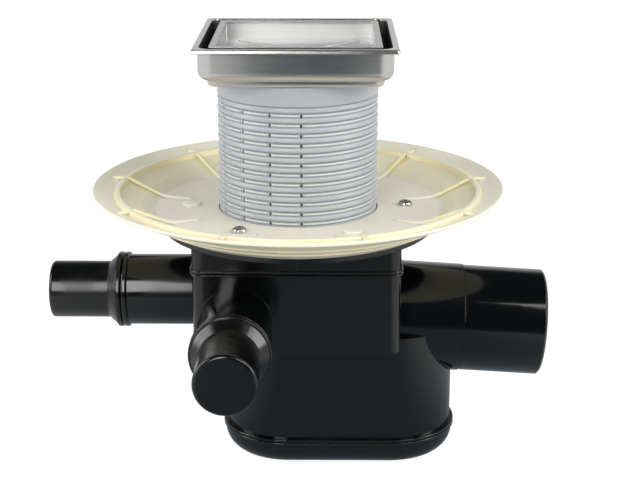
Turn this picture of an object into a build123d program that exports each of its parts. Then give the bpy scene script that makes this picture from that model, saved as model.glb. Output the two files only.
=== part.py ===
"""Floor gully with a water trap, a membrane dish, a telescopic riser and a tile tray.

The origin is where the riser's axis meets the base plane. +Z is up, the outlet points
to +X, one side inlet to -X and the other to -Y. All sizes are in millimetres.
"""
from build123d import *
import os

os.makedirs("parts", exist_ok=True)

# Walls and fits
moulded_wall = 3.0
sheet = 1.0
running_gap = 0.3
seat_gap = 0.2
push_fit_gap = 0.1

# Heights, from the base plane up
cap_height = 19.0
chamber_height = 77.0
box_drop = 2.0
box_height = 57.6
skirt_height = 15.5
plate_thickness = 3.5
hub_height = 9.1
riser_standing = 94.0
lower_pan_depth = 5.6
upper_pan_depth = 20.5

# Box and water chamber of the body
box_side = 139.4
box_corner = 8.0
box_edge_round = 2.5
chamber_left = 52.0
chamber_right = 109.5
chamber_width = 89.4
chamber_cap_step = 1.5
cap_round = 11.0
level_tolerance = 0.01

# Weld beads
box_bead_out = 1.3
cap_bead_out = 2.8
bead_height = 2.2
bead_round = 0.8
bead_gap_half = 0.1
mark_width = 0.9
mark_out = 0.5

# Side inlets
inlet_height = 117.0
stub_diameter = 50.0
spigot_diameter = 40.0
stub_seam = 123.7
stub_bead_width = 4.0
stub_bead_out = 1.6
stub_bead_round = 1.2
cone_length = 5.5
inlet_reach = 175.0
spigot_end_round = 2.5
front_inlet_offset = 40.6

# Outlet
outlet_diameter = 75.0
outlet_fall = 3.5
outlet_height = 96.3
outlet_seam = 114.9
outlet_pipe_length = 57.6
outlet_sleeve_out = 0.6
outlet_chamfer = 1.6

# Cover plate and throat
plate_diameter = 188.4
seal_pocket_diameter = 124.0
seal_height = 9.0
seal_band = 3.5
seal_lip_pitch = 4.0
seal_lip_drop = 2.0
seal_lip_root = 1.6
seal_lip_tip = 1.0
throat_gap = 1.5
pocket_lip = 2.0
gasket_inner = 128.0
gasket_outer = 136.0
gasket_thickness = 2.0

# Membrane dish
brim_width = 16.3
dish_wall = 3.0
dish_foot_diameter = 188.8
dish_foot_width = 3.0
hub_diameter = 138.0
floor_diameter = 191.0
rim_rise = 16.5
rim_thickness = 2.4
ring_diameter = 251.0
ring_width = 3.4
ring_rise = 14.6
brim_fall = 3.2
brim_sag = 0.9
wall_step = 0.7
wall_step_share = 0.46
ring_foot = 1.9
edge_break = 0.7
floor_round = 2.0
funnel_bands = 3
band_step = 0.9
rib_count = 9
rib_thickness = 2.0
rib_rise = 2.0
rib_crest_rise = 1.4
rib_brim_rise = 1.0
rib_root = 1.0
rib_start_radius = 72.0
rib_start_slope = 6.0
rib_end_margin = 4.8
rib_end_fall = 2.6
rib_first_angle = 10.0

# Screws and the low bosses between them
screw_circle = 149.2
screw_count = 3
screw_head_diameter = 10.0
screw_head_height = 3.2
screw_head_round = 2.4
screw_shank_diameter = 4.2
screw_length = 15.0
cross_width = 1.1
cross_length = 5.2
cross_depth = 1.4
boss_diameter = 13.0
boss_rise = 1.6
boss_round = 0.5
screw_boss_wall = 2.4
screw_boss_depth = 7.5

# Riser
riser_diameter = 110.0
riser_wall = 3.5
riser_insert = 41.7
collar_height = 12.3
groove_pitch = 6.66
groove_depth = 1.5
groove_width = 1.1
first_groove_width = 0.5
collar_end_height = 2.6

# Frame, socket and tile tray
frame_side = 132.0
frame_corner = 1.8
frame_lip_out = 0.9
frame_lip_drop = 2.3
frame_lip_sheet = 0.8
pan_side = 126.5
pan_corner = 5.0
pan_edge_round = 5.0
lower_pan_side = 112.0
lower_pan_corner = 8.0
lower_pan_edge_round = 2.8
socket_gap = 0.6
socket_wall = 2.5
socket_length = 22.0
socket_flange_width = 2.2
socket_flange_thickness = 2.0
socket_seal_section = 2.6
socket_seal_drop = 12.0
tray_side = 111.8
tray_rim = 4.3
tray_depth = 12.0
tray_corner = 1.5
cross_rib_width = 5.0
cross_rib_rise = 0.8
cross_rib_length = 118.0
foot_diameter = 12.0
foot_spacing = 92.0

# Trap insert and strainer
insert_tube_diameter = 72.0
insert_wall = 2.5
insert_clear_below = 12.0
insert_flange_diameter = 94.0
insert_flange_thickness = 3.0
insert_hole_diameter = 82.0
insert_seal_section = 2.6
strainer_diameter = 80.6
strainer_thickness = 2.0
strainer_slot_count = 16
strainer_slot_width = 3.0
strainer_slot_length = 18.0
strainer_slot_radius = 24.0
knob_diameter = 9.0
knob_height = 11.0
handle_height = 20.0
handle_width = 8.0
handle_thickness = 3.0
handle_round = 6.0

# Levels worked out from the heights
z_cap = cap_height
z_roof = z_cap + chamber_height
z_box = z_roof - box_drop
z_box_floor = z_box + moulded_wall
z_seam = z_box + box_height
z_plate = z_seam + skirt_height
z_dish = z_plate + plate_thickness
z_floor = z_dish + hub_height
z_rim = z_floor + rim_rise
z_riser_top = z_floor + riser_standing
z_riser_bottom = z_floor - riser_insert
z_pan = z_riser_top + seat_gap
z_ledge = z_pan + lower_pan_depth
z_top = z_ledge + upper_pan_depth
z_pan_floor = z_pan + sheet
z_tray_floor = z_top - tray_depth
z_tray_bottom = z_tray_floor - sheet

dish_diameter = ring_diameter + 2 * brim_width
riser_radius = riser_diameter / 2
riser_bore = riser_radius - riser_wall
screw_radius = screw_circle / 2
screw_angles = [360 / screw_count * i for i in range(screw_count)]
boss_angles = [angle + 180 / screw_count for angle in screw_angles]

ON_BASE = (Align.CENTER, Align.CENTER, Align.MIN)
DIAGONALS = (45, 135)


def disc(radius, z, height, x=0.0, y=0.0):
    """An upright cylinder that starts at z."""
    return Pos(x, y, z) * Cylinder(radius, height, align=ON_BASE)


def ring(outer_radius, inner_radius, z, height):
    """An upright ring that starts at z."""
    return disc(outer_radius, z, height) - disc(inner_radius, z, height)


def turned(points):
    """A solid turned about Z from (radius, height) points."""
    outline = Plane.XZ * make_face(Polyline(*points, close=True))
    return revolve(outline, Axis.Z)


def square_block(side, corner, z, height):
    """A square block with rounded upright corners."""
    return extrude(Pos(0, 0, z) * RectangleRounded(side, side, corner), amount=height)


def long_block(grow, z, height):
    """The water chamber's plan, round at both ends, grown by one value all round."""
    length = chamber_left + chamber_right + 2 * grow
    centre = (chamber_right - chamber_left) / 2
    return extrude(Pos(centre, 0, z) * SlotOverall(length, chamber_width + 2 * grow), amount=height)


def level_edges(solid):
    """The edges of a block that lie level, as against its upright ones."""
    return [edge for edge in solid.edges() if edge.bounding_box().size.Z < level_tolerance]


def bottom_edges(solid):
    return solid.faces().sort_by(Axis.Z)[0].edges()


def outlet_place(solid):
    """Turns a solid made along +Z to the outlet's falling axis, with height 0 at the seam."""
    return Pos(outlet_seam, 0, outlet_height) * Rot(0, 90 + outlet_fall, 0) * solid


def left_inlet_place(solid):
    """Turns a solid made along +Z to the left inlet's axis."""
    return Pos(0, 0, inlet_height) * Rot(0, -90, 0) * solid


def front_inlet_place(solid):
    """Turns a solid made along +Z to the front inlet's axis."""
    return Pos(-front_inlet_offset, 0, inlet_height) * Rot(90, 0, 0) * solid


def at_circle(solid, radius, angle):
    """Moves a solid made at the centre out along one direction."""
    return Rot(0, 0, angle) * Pos(radius, 0, 0) * solid


def bead_ring(block):
    return fillet(level_edges(block), bead_round)


def make_stub():
    """A side stub of the body, with the weld bead at its mouth."""
    radius = stub_diameter / 2
    start = box_side / 2 - moulded_wall
    seam = stub_seam - bead_gap_half
    tube = disc(radius, start, seam - start)
    bead = disc(radius + stub_bead_out, seam - stub_bead_width, stub_bead_width)
    return tube + fillet(level_edges(bead), stub_bead_round)


def make_trap_body():
    """Box above, long water chamber below, two side stubs and the outlet's sleeve."""
    box = square_block(box_side, box_corner, z_box, box_height)
    box = fillet(bottom_edges(box), box_edge_round)
    top_bead = square_block(
        box_side + 2 * box_bead_out, box_corner + box_bead_out,
        z_seam - bead_gap_half - bead_height, bead_height
    )
    chamber = long_block(0, z_cap, chamber_height)
    low_bead = long_block(cap_bead_out, z_cap + bead_gap_half, bead_height)
    stub = make_stub()
    sleeve_length = outlet_seam - box_side / 2 + moulded_wall
    sleeve = disc(
        outlet_diameter / 2 + outlet_sleeve_out, -sleeve_length, sleeve_length - bead_gap_half
    )
    body = box + bead_ring(top_bead) + chamber + bead_ring(low_bead)
    body += left_inlet_place(stub)
    body += front_inlet_place(stub)
    body += outlet_place(sleeve)

    box_room = square_block(
        box_side - 2 * moulded_wall, box_corner - moulded_wall, z_box_floor, box_height
    )
    chamber_room = long_block(-moulded_wall, z_cap, chamber_height - moulded_wall)
    stub_room = disc(stub_diameter / 2 - moulded_wall, box_side / 2 - 2 * moulded_wall, stub_seam)
    outlet_room = disc(
        outlet_diameter / 2 - moulded_wall, -sleeve_length + 2 * moulded_wall, sleeve_length
    )
    body -= box_room
    body -= chamber_room
    body -= left_inlet_place(stub_room)
    body -= front_inlet_place(stub_room)
    body -= outlet_place(outlet_room)
    body -= disc(insert_hole_diameter / 2, z_roof - 3 * moulded_wall, 6 * moulded_wall)
    body -= Pos(0, 0, z_seam - bead_gap_half) * Box(
        2 * box_side, 2 * box_side, box_height, align=ON_BASE
    )
    return body


def make_base_cap():
    """The bottom shell, welded under the chamber."""
    outer = fillet(bottom_edges(long_block(chamber_cap_step, 0, z_cap - bead_gap_half)), cap_round)
    bead_z = z_cap - bead_gap_half - bead_height
    outer += bead_ring(long_block(cap_bead_out, bead_z, bead_height))
    inner = long_block(-moulded_wall, moulded_wall, z_cap)
    return outer - fillet(bottom_edges(inner), cap_round - moulded_wall)


def make_body_cover():
    """Round plate, square skirt and the pocket that holds the riser's lip seal."""
    skirt = square_block(box_side, box_corner, z_seam + bead_gap_half, skirt_height)
    bead = square_block(
        box_side + 2 * box_bead_out, box_corner + box_bead_out, z_seam + bead_gap_half, bead_height
    )
    room = square_block(
        box_side - 2 * moulded_wall, box_corner - moulded_wall, z_seam, skirt_height
    )
    cover = skirt + bead_ring(bead) - room
    cover += disc(plate_diameter / 2, z_plate, plate_thickness)
    for side in (-1, 1):
        mark_y = side * box_side / 2
        cover += Pos(0, mark_y, z_seam + bead_gap_half) * Box(
            mark_width, 2 * mark_out, skirt_height, align=ON_BASE
        )
    for angle in screw_angles:
        boss = disc(screw_shank_diameter / 2 + screw_boss_wall, z_dish - screw_boss_depth, screw_boss_depth)
        cover += at_circle(boss, screw_radius, angle)

    pocket_floor = z_dish - seal_height
    pocket_radius = seal_pocket_diameter / 2
    cover += disc(pocket_radius + moulded_wall, pocket_floor - pocket_lip, seal_height + pocket_lip)
    cover -= disc(pocket_radius, pocket_floor, seal_height)
    cover -= disc(riser_radius + throat_gap, z_seam, z_dish - z_seam)
    cover -= ring(gasket_outer / 2, gasket_inner / 2, z_dish - gasket_thickness, gasket_thickness)
    for angle in screw_angles:
        hole = disc(screw_shank_diameter / 2, z_plate - plate_thickness, 3 * plate_thickness)
        cover -= at_circle(hole, screw_radius, angle)
    return cover


def make_riser_seal():
    """Rubber band with two lips that point down and in against the riser."""
    outer = seal_pocket_diameter / 2
    band = outer - seal_band
    lip = riser_radius + running_gap
    low = z_dish - seal_height
    points = [(band, low), (outer, low), (outer, z_dish), (band, z_dish)]
    for count in (2, 1):
        root = low + count * seal_lip_pitch
        tip = root - seal_lip_drop
        points += [(band, root), (lip, tip), (lip, tip - seal_lip_tip), (band, root - seal_lip_root)]
    return turned(points)


def dish_surface():
    """The dish's top line, from the floor's edge out past the ring, as (radius, height)."""
    floor = floor_diameter / 2
    ring_in = ring_diameter / 2 - ring_width / 2
    ring_out = ring_diameter / 2 + ring_width / 2
    crest = z_floor + ring_rise
    step_radius = (floor + ring_in) / 2
    step_z = z_floor + wall_step_share * ring_rise
    return [
        (floor, z_floor),
        (floor + floor_round, z_floor + floor_round / 4),
        (step_radius - wall_step, step_z - wall_step),
        (step_radius, step_z),
        (ring_in - ring_foot, crest - ring_foot),
        (ring_in, crest - edge_break),
        (ring_in + edge_break, crest),
        (ring_out - edge_break, crest),
        (ring_out, crest - edge_break),
        (ring_out + edge_break, crest - brim_fall),
    ]


def make_dish_rib(surface, brim_mid):
    """One radial rib, which follows the floor, the funnel wall and the brim."""
    floor_edge = surface[1]
    knee = surface[3]
    ring_foot_top = surface[4]
    crest_in = surface[6]
    crest_out = surface[8]
    brim_start = surface[9]
    outline = [
        (rib_start_radius, z_floor - rib_root),
        (rib_start_radius + rib_start_slope, z_floor + rib_crest_rise),
        (floor_edge[0] - rib_thickness, z_floor + rib_rise),
        (knee[0] - rib_thickness, knee[1] + rib_rise),
        (crest_in[0], crest_in[1] + rib_crest_rise),
        (crest_out[0] + edge_break, crest_out[1] + edge_break),
        (brim_mid[0], brim_mid[1] + rib_brim_rise),
        (dish_diameter / 2 - rib_end_margin, z_rim - rib_end_fall),
        (brim_mid[0], brim_mid[1] - rib_root),
        (brim_start[0], brim_start[1] - rib_root),
        (ring_foot_top[0], ring_foot_top[1] - rib_root),
        (floor_edge[0], z_floor - rib_root),
    ]
    face = Plane.XZ * make_face(Polyline(*outline, close=True))
    return extrude(face, amount=rib_thickness / 2, both=True)


def make_membrane_flange():
    """The cream dish: floor, funnel wall, ring rib, brim, radial ribs, hub and foot."""
    rim = dish_diameter / 2
    surface = dish_surface()
    brim_start = surface[-1]
    brim_mid = ((brim_start[0] + rim) / 2, (brim_start[1] + z_rim) / 2 - brim_sag)
    hole = riser_radius + running_gap
    hub = hub_diameter / 2
    foot = dish_foot_diameter / 2
    ceiling = z_floor - dish_wall
    under_ring = ring_diameter / 2 + edge_break
    underside = z_floor + ring_rise - brim_fall - dish_wall
    points = [(hole, z_dish), (hole, z_floor)]
    points += surface
    points += [
        brim_mid, (rim - edge_break, z_rim), (rim, z_rim - edge_break), (rim, z_rim - rim_thickness),
        (brim_mid[0], brim_mid[1] - rim_thickness), (under_ring, underside),
    ]
    for band in range(funnel_bands - 1, 0, -1):
        radius = foot + (under_ring - foot) * band / funnel_bands
        height = z_dish + (underside - z_dish) * band / funnel_bands
        points += [(radius, height + band_step / 2), (radius, height - band_step / 2)]
    points += [
        (foot, z_dish), (foot - dish_foot_width, z_dish), (foot - dish_foot_width, ceiling),
        (hub, ceiling), (hub, z_dish),
    ]
    dish = turned(points)
    rib = make_dish_rib(surface, brim_mid)
    for i in range(rib_count):
        dish += Rot(0, 0, rib_first_angle + 360 / rib_count * i) * rib

    screw_hole = screw_shank_diameter / 2 + push_fit_gap
    for angle in screw_angles:
        dish += at_circle(disc(screw_hole + screw_boss_wall, z_dish, hub_height), screw_radius, angle)
        dish -= at_circle(disc(screw_hole, z_dish, hub_height), screw_radius, angle)
    for angle in boss_angles:
        boss = disc(boss_diameter / 2, z_floor - dish_wall / 2, dish_wall / 2 + boss_rise)
        boss = fillet(boss.faces().sort_by(Axis.Z)[-1].edges(), boss_round)
        dish += at_circle(boss, screw_radius, angle)
    return dish


def make_flange_screws():
    """Pan-head screws with a cross recess, as a group of separate solids."""
    head = disc(screw_head_diameter / 2, z_floor, screw_head_height)
    head = fillet(head.faces().sort_by(Axis.Z)[-1].edges(), screw_head_round)
    shank_length = min(screw_length, hub_height + screw_boss_depth - push_fit_gap)
    shank = disc(screw_shank_diameter / 2 - push_fit_gap, z_floor - shank_length, shank_length)
    screw = head + shank
    for turn in DIAGONALS:
        screw -= Pos(0, 0, z_floor + screw_head_height - cross_depth) * Rot(0, 0, turn) * Box(
            cross_length, cross_width, 2 * cross_depth, align=ON_BASE
        )
    return Compound([at_circle(screw, screw_radius, angle) for angle in screw_angles])


def make_riser_tube():
    """Grey tube with a smooth collar, then rounded bands with a cutting groove between each two."""
    valley = riser_radius - groove_depth
    groove = z_riser_top - collar_height
    low_edge = groove + first_groove_width / 2
    outline = [
        Polyline(
            (riser_bore, z_riser_bottom), (riser_bore, z_riser_top), (riser_radius, z_riser_top),
            (riser_radius, low_edge + collar_end_height),
        ),
        ThreePointArc(
            (riser_radius, low_edge + collar_end_height),
            (riser_radius - groove_depth / 4, low_edge + collar_end_height / 2),
            (valley, low_edge),
        ),
    ]
    band_top = groove - first_groove_width / 2
    while groove - groove_pitch > z_riser_bottom + groove_width:
        outline.append(Line((valley, low_edge), (valley, band_top)))
        groove -= groove_pitch
        low_edge = groove + groove_width / 2
        crest = (riser_radius, (band_top + low_edge) / 2)
        outline.append(ThreePointArc((valley, band_top), crest, (valley, low_edge)))
        band_top = groove - groove_width / 2
    outline.append(Polyline(
        (valley, low_edge), (valley, z_riser_bottom), (riser_bore, z_riser_bottom)
    ))
    return revolve(make_face(Plane.XZ * (Curve() + outline)), Axis.Z)


def make_top_frame():
    """Pressed sheet pan in two steps, with a flat top edge whose lip turns down and out."""
    upper = fillet(
        bottom_edges(square_block(pan_side, pan_corner, z_ledge, upper_pan_depth)), pan_edge_round
    )
    lower = fillet(
        bottom_edges(square_block(lower_pan_side, lower_pan_corner, z_pan, lower_pan_depth + sheet)),
        lower_pan_edge_round,
    )
    inner_upper = fillet(
        bottom_edges(square_block(
            pan_side - 2 * sheet, pan_corner - sheet, z_ledge + sheet, upper_pan_depth
        )),
        pan_edge_round - sheet,
    )
    inner_lower = fillet(
        bottom_edges(square_block(
            lower_pan_side - 2 * sheet, lower_pan_corner - sheet, z_pan_floor,
            lower_pan_depth + 2 * sheet
        )),
        lower_pan_edge_round - sheet,
    )
    edge = loft([
        Pos(0, 0, z_top) * RectangleRounded(frame_side, frame_side, frame_corner),
        Pos(0, 0, z_top - frame_lip_drop) * RectangleRounded(
            frame_side + 2 * frame_lip_out, frame_side + 2 * frame_lip_out, frame_corner
        ),
    ])
    under_side = frame_side - 2 * frame_lip_sheet
    under_edge = loft([
        Pos(0, 0, z_top - sheet) * RectangleRounded(
            under_side, under_side, frame_corner - frame_lip_sheet
        ),
        Pos(0, 0, z_top - frame_lip_drop - sheet) * RectangleRounded(
            under_side + 2 * frame_lip_out, under_side + 2 * frame_lip_out,
            frame_corner - frame_lip_sheet
        ),
    ])
    frame = (edge - under_edge) + upper + lower
    frame = frame - inner_upper - inner_lower
    return frame - disc(riser_bore - socket_gap + push_fit_gap, z_pan - sheet, 4 * sheet)


def make_frame_socket():
    """The round neck under the pan, which plugs into the riser."""
    outer = riser_bore - socket_gap
    inner = outer - socket_wall
    flange = outer + socket_flange_width
    seal_z = z_pan - socket_seal_drop
    groove = socket_seal_section / 2 + push_fit_gap
    groove_floor = riser_bore - running_gap - socket_seal_section
    return turned([
        (inner, z_pan_floor + socket_flange_thickness), (flange, z_pan_floor + socket_flange_thickness),
        (flange, z_pan_floor), (outer, z_pan_floor), (outer, seal_z + groove),
        (groove_floor, seal_z + groove), (groove_floor, seal_z - groove), (outer, seal_z - groove),
        (outer, z_pan - socket_length), (inner, z_pan - socket_length),
    ])


def make_socket_seal():
    """The O-ring between the socket and the riser."""
    section = socket_seal_section / 2
    return Pos(0, 0, z_pan - socket_seal_drop) * Torus(riser_bore - running_gap - section, section)


def make_tile_tray():
    """Folded sheet tray that takes a tile: double-walled rim, deep recess, ribbed floor."""
    inner_side = tray_side - 2 * tray_rim
    tray = square_block(tray_side, tray_corner, z_tray_floor, tray_depth)
    tray -= square_block(tray_side - 2 * sheet, sheet / 2, z_tray_floor, tray_depth - sheet)
    tray += square_block(inner_side + 2 * sheet, tray_corner, z_tray_bottom, tray_depth + sheet)
    tray -= square_block(inner_side, sheet / 2, z_tray_floor, tray_depth)
    for turn in DIAGONALS:
        rib = Pos(0, 0, z_tray_floor) * Rot(0, 0, turn) * SlotOverall(cross_rib_length, cross_rib_width)
        tray += extrude(rib, amount=cross_rib_rise)
    return tray


def make_tray_feet():
    """Four feet under the tray that stand on the pan's floor."""
    reach = foot_spacing / 2
    height = z_tray_bottom - z_pan_floor
    foot = fillet(level_edges(disc(foot_diameter / 2, z_pan_floor, height)), sheet / 2)
    return Compound([Pos(reach * i, reach * j, 0) * foot for i in (-1, 1) for j in (-1, 1)])


def make_trap_insert():
    """Lift-out dip tube with a seat flange, a seal groove and a bail to pull it by."""
    hole = insert_hole_diameter / 2
    spigot = hole - 2 * push_fit_gap
    tube = insert_tube_diameter / 2
    inner = tube - insert_wall
    flange = insert_flange_diameter / 2
    top = z_box_floor + insert_flange_thickness
    ledge = top - strainer_thickness
    mouth = strainer_diameter / 2 + running_gap
    bottom = moulded_wall + insert_clear_below
    seal_z = z_box_floor - moulded_wall / 2
    groove = insert_seal_section / 2 + push_fit_gap / 2
    groove_floor = hole - push_fit_gap - insert_seal_section
    insert = turned([
        (inner, bottom), (tube, bottom), (tube, seal_z - 3 * insert_wall), (spigot, seal_z - insert_wall),
        (spigot, seal_z - groove), (groove_floor, seal_z - groove), (groove_floor, seal_z + groove),
        (spigot, seal_z + groove), (spigot, z_box_floor), (flange, z_box_floor), (flange, top),
        (mouth, top), (mouth, ledge), (groove_floor - insert_wall / 2, ledge),
        (inner, seal_z - insert_wall),
    ])
    span = 2 * mouth + 2 * handle_thickness
    arch = RectangleRounded(span, 2 * handle_height, handle_round)
    arch -= RectangleRounded(
        span - 2 * handle_thickness, 2 * handle_height - 2 * handle_thickness,
        handle_round - handle_thickness
    )
    arch &= Rectangle(2 * span, 2 * handle_height, align=(Align.CENTER, Align.MIN))
    bail = extrude(Plane.XZ * arch, amount=handle_width / 2, both=True)
    return insert + Pos(0, 0, top) * bail


def make_insert_seal():
    """The O-ring between the insert and the box floor."""
    section = insert_seal_section / 2
    hole = insert_hole_diameter / 2
    return Pos(0, 0, z_box_floor - moulded_wall / 2) * Torus(hole - push_fit_gap - section, section)


def make_hair_strainer():
    """Slotted disc with a grip, dropped into the insert's mouth."""
    z = z_box_floor + insert_flange_thickness - strainer_thickness
    strainer = disc(strainer_diameter / 2, z, strainer_thickness)
    strainer += disc(knob_diameter / 2, z, strainer_thickness + knob_height)
    slot = extrude(SlotOverall(strainer_slot_length, strainer_slot_width), amount=3 * strainer_thickness)
    for i in range(strainer_slot_count):
        angle = 360 / strainer_slot_count * i
        strainer -= at_circle(Pos(0, 0, z - strainer_thickness) * slot, strainer_slot_radius, angle)
    return strainer


def make_inlet_spigot():
    """A closed moulded spigot along +Z, with its weld bead and cone."""
    stub = stub_diameter / 2
    spigot = spigot_diameter / 2
    start = stub_seam + bead_gap_half
    cone_start = start + stub_bead_width + 0.4
    cone_end = cone_start + cone_length
    outer = turned([(0, start), (stub, start), (stub, cone_start), (spigot, cone_end),
                    (spigot, inlet_reach), (0, inlet_reach)])
    outer = fillet(outer.faces().sort_by(Axis.Z)[-1].edges(), spigot_end_round)
    bead = disc(stub + stub_bead_out, start, stub_bead_width)
    outer += fillet(level_edges(bead), stub_bead_round)
    inner = turned([(0, start), (stub - moulded_wall, start), (stub - moulded_wall, cone_start),
                    (spigot - moulded_wall, cone_end), (spigot - moulded_wall, inlet_reach - moulded_wall),
                    (0, inlet_reach - moulded_wall)])
    return outer - inner


def make_outlet_pipe():
    """The open outlet pipe, welded to the body's sleeve."""
    radius = outlet_diameter / 2
    pipe = disc(radius, bead_gap_half, outlet_pipe_length - bead_gap_half)
    pipe = chamfer(pipe.faces().sort_by(Axis.Z)[-1].edges(), outlet_chamfer)
    return outlet_place(pipe - disc(radius - moulded_wall, 0, outlet_pipe_length))


spigot_along_z = make_inlet_spigot()
nodes = {
    "trap_body": make_trap_body(),
    "base_cap": make_base_cap(),
    "body_cover": make_body_cover(),
    "outlet_pipe": make_outlet_pipe(),
    "left_inlet_spigot": left_inlet_place(spigot_along_z),
    "front_inlet_spigot": front_inlet_place(spigot_along_z),
    "riser_seal": make_riser_seal(),
    "flange_gasket": ring(
        gasket_outer / 2, gasket_inner / 2, z_dish - gasket_thickness, gasket_thickness
    ),
    "membrane_flange": make_membrane_flange(),
    "flange_screws": make_flange_screws(),
    "trap_insert": make_trap_insert(),
    "insert_seal": make_insert_seal(),
    "hair_strainer": make_hair_strainer(),
    "riser_tube": make_riser_tube(),
    "top_frame": make_top_frame(),
    "frame_socket": make_frame_socket(),
    "socket_seal": make_socket_seal(),
    "tile_tray": make_tile_tray(),
    "tray_feet": make_tray_feet(),
}

for name, shape in nodes.items():
    export_step(shape, f"parts/{name}.step")
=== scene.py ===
from math import cos, pi, radians, sin

import bmesh
import bpy
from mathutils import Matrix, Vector


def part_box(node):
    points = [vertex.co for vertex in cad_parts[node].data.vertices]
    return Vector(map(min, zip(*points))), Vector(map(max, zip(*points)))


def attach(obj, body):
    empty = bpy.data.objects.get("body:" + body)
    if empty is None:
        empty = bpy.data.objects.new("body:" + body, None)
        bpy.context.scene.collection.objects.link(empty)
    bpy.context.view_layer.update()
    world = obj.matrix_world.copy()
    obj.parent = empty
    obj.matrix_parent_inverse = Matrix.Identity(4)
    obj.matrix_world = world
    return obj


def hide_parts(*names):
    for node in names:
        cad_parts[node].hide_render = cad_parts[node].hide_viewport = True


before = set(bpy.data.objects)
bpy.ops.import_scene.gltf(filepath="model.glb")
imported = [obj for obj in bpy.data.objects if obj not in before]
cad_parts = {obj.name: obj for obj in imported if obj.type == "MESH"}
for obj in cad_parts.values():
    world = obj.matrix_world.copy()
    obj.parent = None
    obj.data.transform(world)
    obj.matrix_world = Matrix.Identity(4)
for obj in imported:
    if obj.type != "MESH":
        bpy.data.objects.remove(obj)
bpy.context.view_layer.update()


# Camera
# It stands in front, a little to the right and above the dish, as in the photograph,
# and looks down at the part through a long lens.
LENS_MM = 80.73
SENSOR_MM = 36
LOOKS_DOWN = 17.51
LOOKS_LEFT = 0.43
camera = bpy.data.objects.new("camera", bpy.data.cameras.new("camera"))
camera.data.lens = LENS_MM
camera.data.sensor_width = SENSOR_MM
camera.location = (0.0224, -0.9651, 0.4582)
camera.rotation_euler = (radians(90 - LOOKS_DOWN), 0, radians(LOOKS_LEFT))
bpy.context.scene.collection.objects.link(camera)
bpy.context.scene.camera = camera
bpy.context.scene.view_settings.view_transform = "Standard"


# Studio
# A pale table in a white room. What gloss mirrors is pale behind the part and dark
# overhead and behind the camera, and soft boxes stand to both sides of the camera.
class Wire:
    """An output of a shader node. Sums written with it add the Math nodes they need."""

    def __init__(self, finish, socket):
        self.finish = finish
        self.socket = socket

    def math(self, operation, *values):
        return self.finish.node("Math", {"operation": operation}, dict(enumerate(values)))

    def __add__(self, other):
        return self.math("ADD", self, other)

    def __radd__(self, other):
        return self.math("ADD", other, self)

    def __sub__(self, other):
        return self.math("SUBTRACT", self, other)

    def __rsub__(self, other):
        return self.math("SUBTRACT", other, self)

    def __mul__(self, other):
        return self.math("MULTIPLY", self, other)

    def __rmul__(self, other):
        return self.math("MULTIPLY", other, self)

    def __truediv__(self, other):
        return self.math("DIVIDE", self, other)

    def __rtruediv__(self, other):
        return self.math("DIVIDE", other, self)

    def __abs__(self):
        return self.math("ABSOLUTE", self)

    def __pow__(self, other):
        return self.math("POWER", self, other)

    def beside(self, output):
        """Another output of the same node."""
        return Wire(self.finish, self.socket.node.outputs[output])

    def ease(self, start, end):
        """0 up to start, 1 from end on, and smooth between them."""
        return self.finish.node(
            "MapRange", {"interpolation_type": "SMOOTHSTEP"},
            {"Value": self, "From Min": start, "From Max": end}
        )


class Finish:
    """The shader nodes of one material or world."""

    def __init__(self, owner, constants=None):
        self.owner = owner
        owner.use_nodes = True
        self.tree = owner.node_tree
        self.shader = next(node for node in self.tree.nodes if node.outputs)
        self.feed(constants or {})

    def feed(self, sockets, node=None):
        """Sets or links inputs of a node, by default of the main shader."""
        for name, value in sockets.items():
            socket = (node or self.shader).inputs[name]
            if isinstance(value, Wire):
                self.tree.links.new(value.socket, socket)
            else:
                socket.default_value = value

    def node(self, kind, settings=None, sockets=None, output=0):
        """Adds one node, with its settings first and its sockets after them."""
        node = self.tree.nodes.new("ShaderNode" + kind)
        for name, value in (settings or {}).items():
            setattr(node, name, value)
        self.feed(sockets or {}, node)
        return Wire(self, node.outputs[output])

    def tint(self, share, first, second):
        """A colour between two, by a share from 0 to 1."""
        return self.node("Mix", {"data_type": "RGBA"}, {0: share, 6: first, 7: second}, output=2)

    def place(self):
        """Where a point is on its own piece, which moves with the piece."""
        return self.node("TexCoord", output="Object")

    def noise(self, scale, stretch=(1, 1, 1), detail=3.0, roughness=0.5):
        """Noise over the piece, scale in waves a metre, drawn out along an axis by stretch."""
        moved = self.node("Mapping", sockets={"Vector": self.place(), "Scale": stretch})
        return self.node("TexNoise", sockets={
            "Vector": moved, "Scale": scale, "Detail": detail, "Roughness": roughness
        })

    def bump(self, height, distance, strength, normal=None):
        """A bumped normal from a height of 0 to 1 that stands for the distance given."""
        sockets = {"Height": height, "Distance": distance, "Strength": strength}
        if normal:
            sockets["Normal"] = normal
        return self.node("Bump", sockets=sockets)

    def soft_edges(self, radius):
        """The normal as if each edge were rounded by this radius."""
        return self.node("Bevel", {"samples": 6}, {"Radius": radius})


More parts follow.
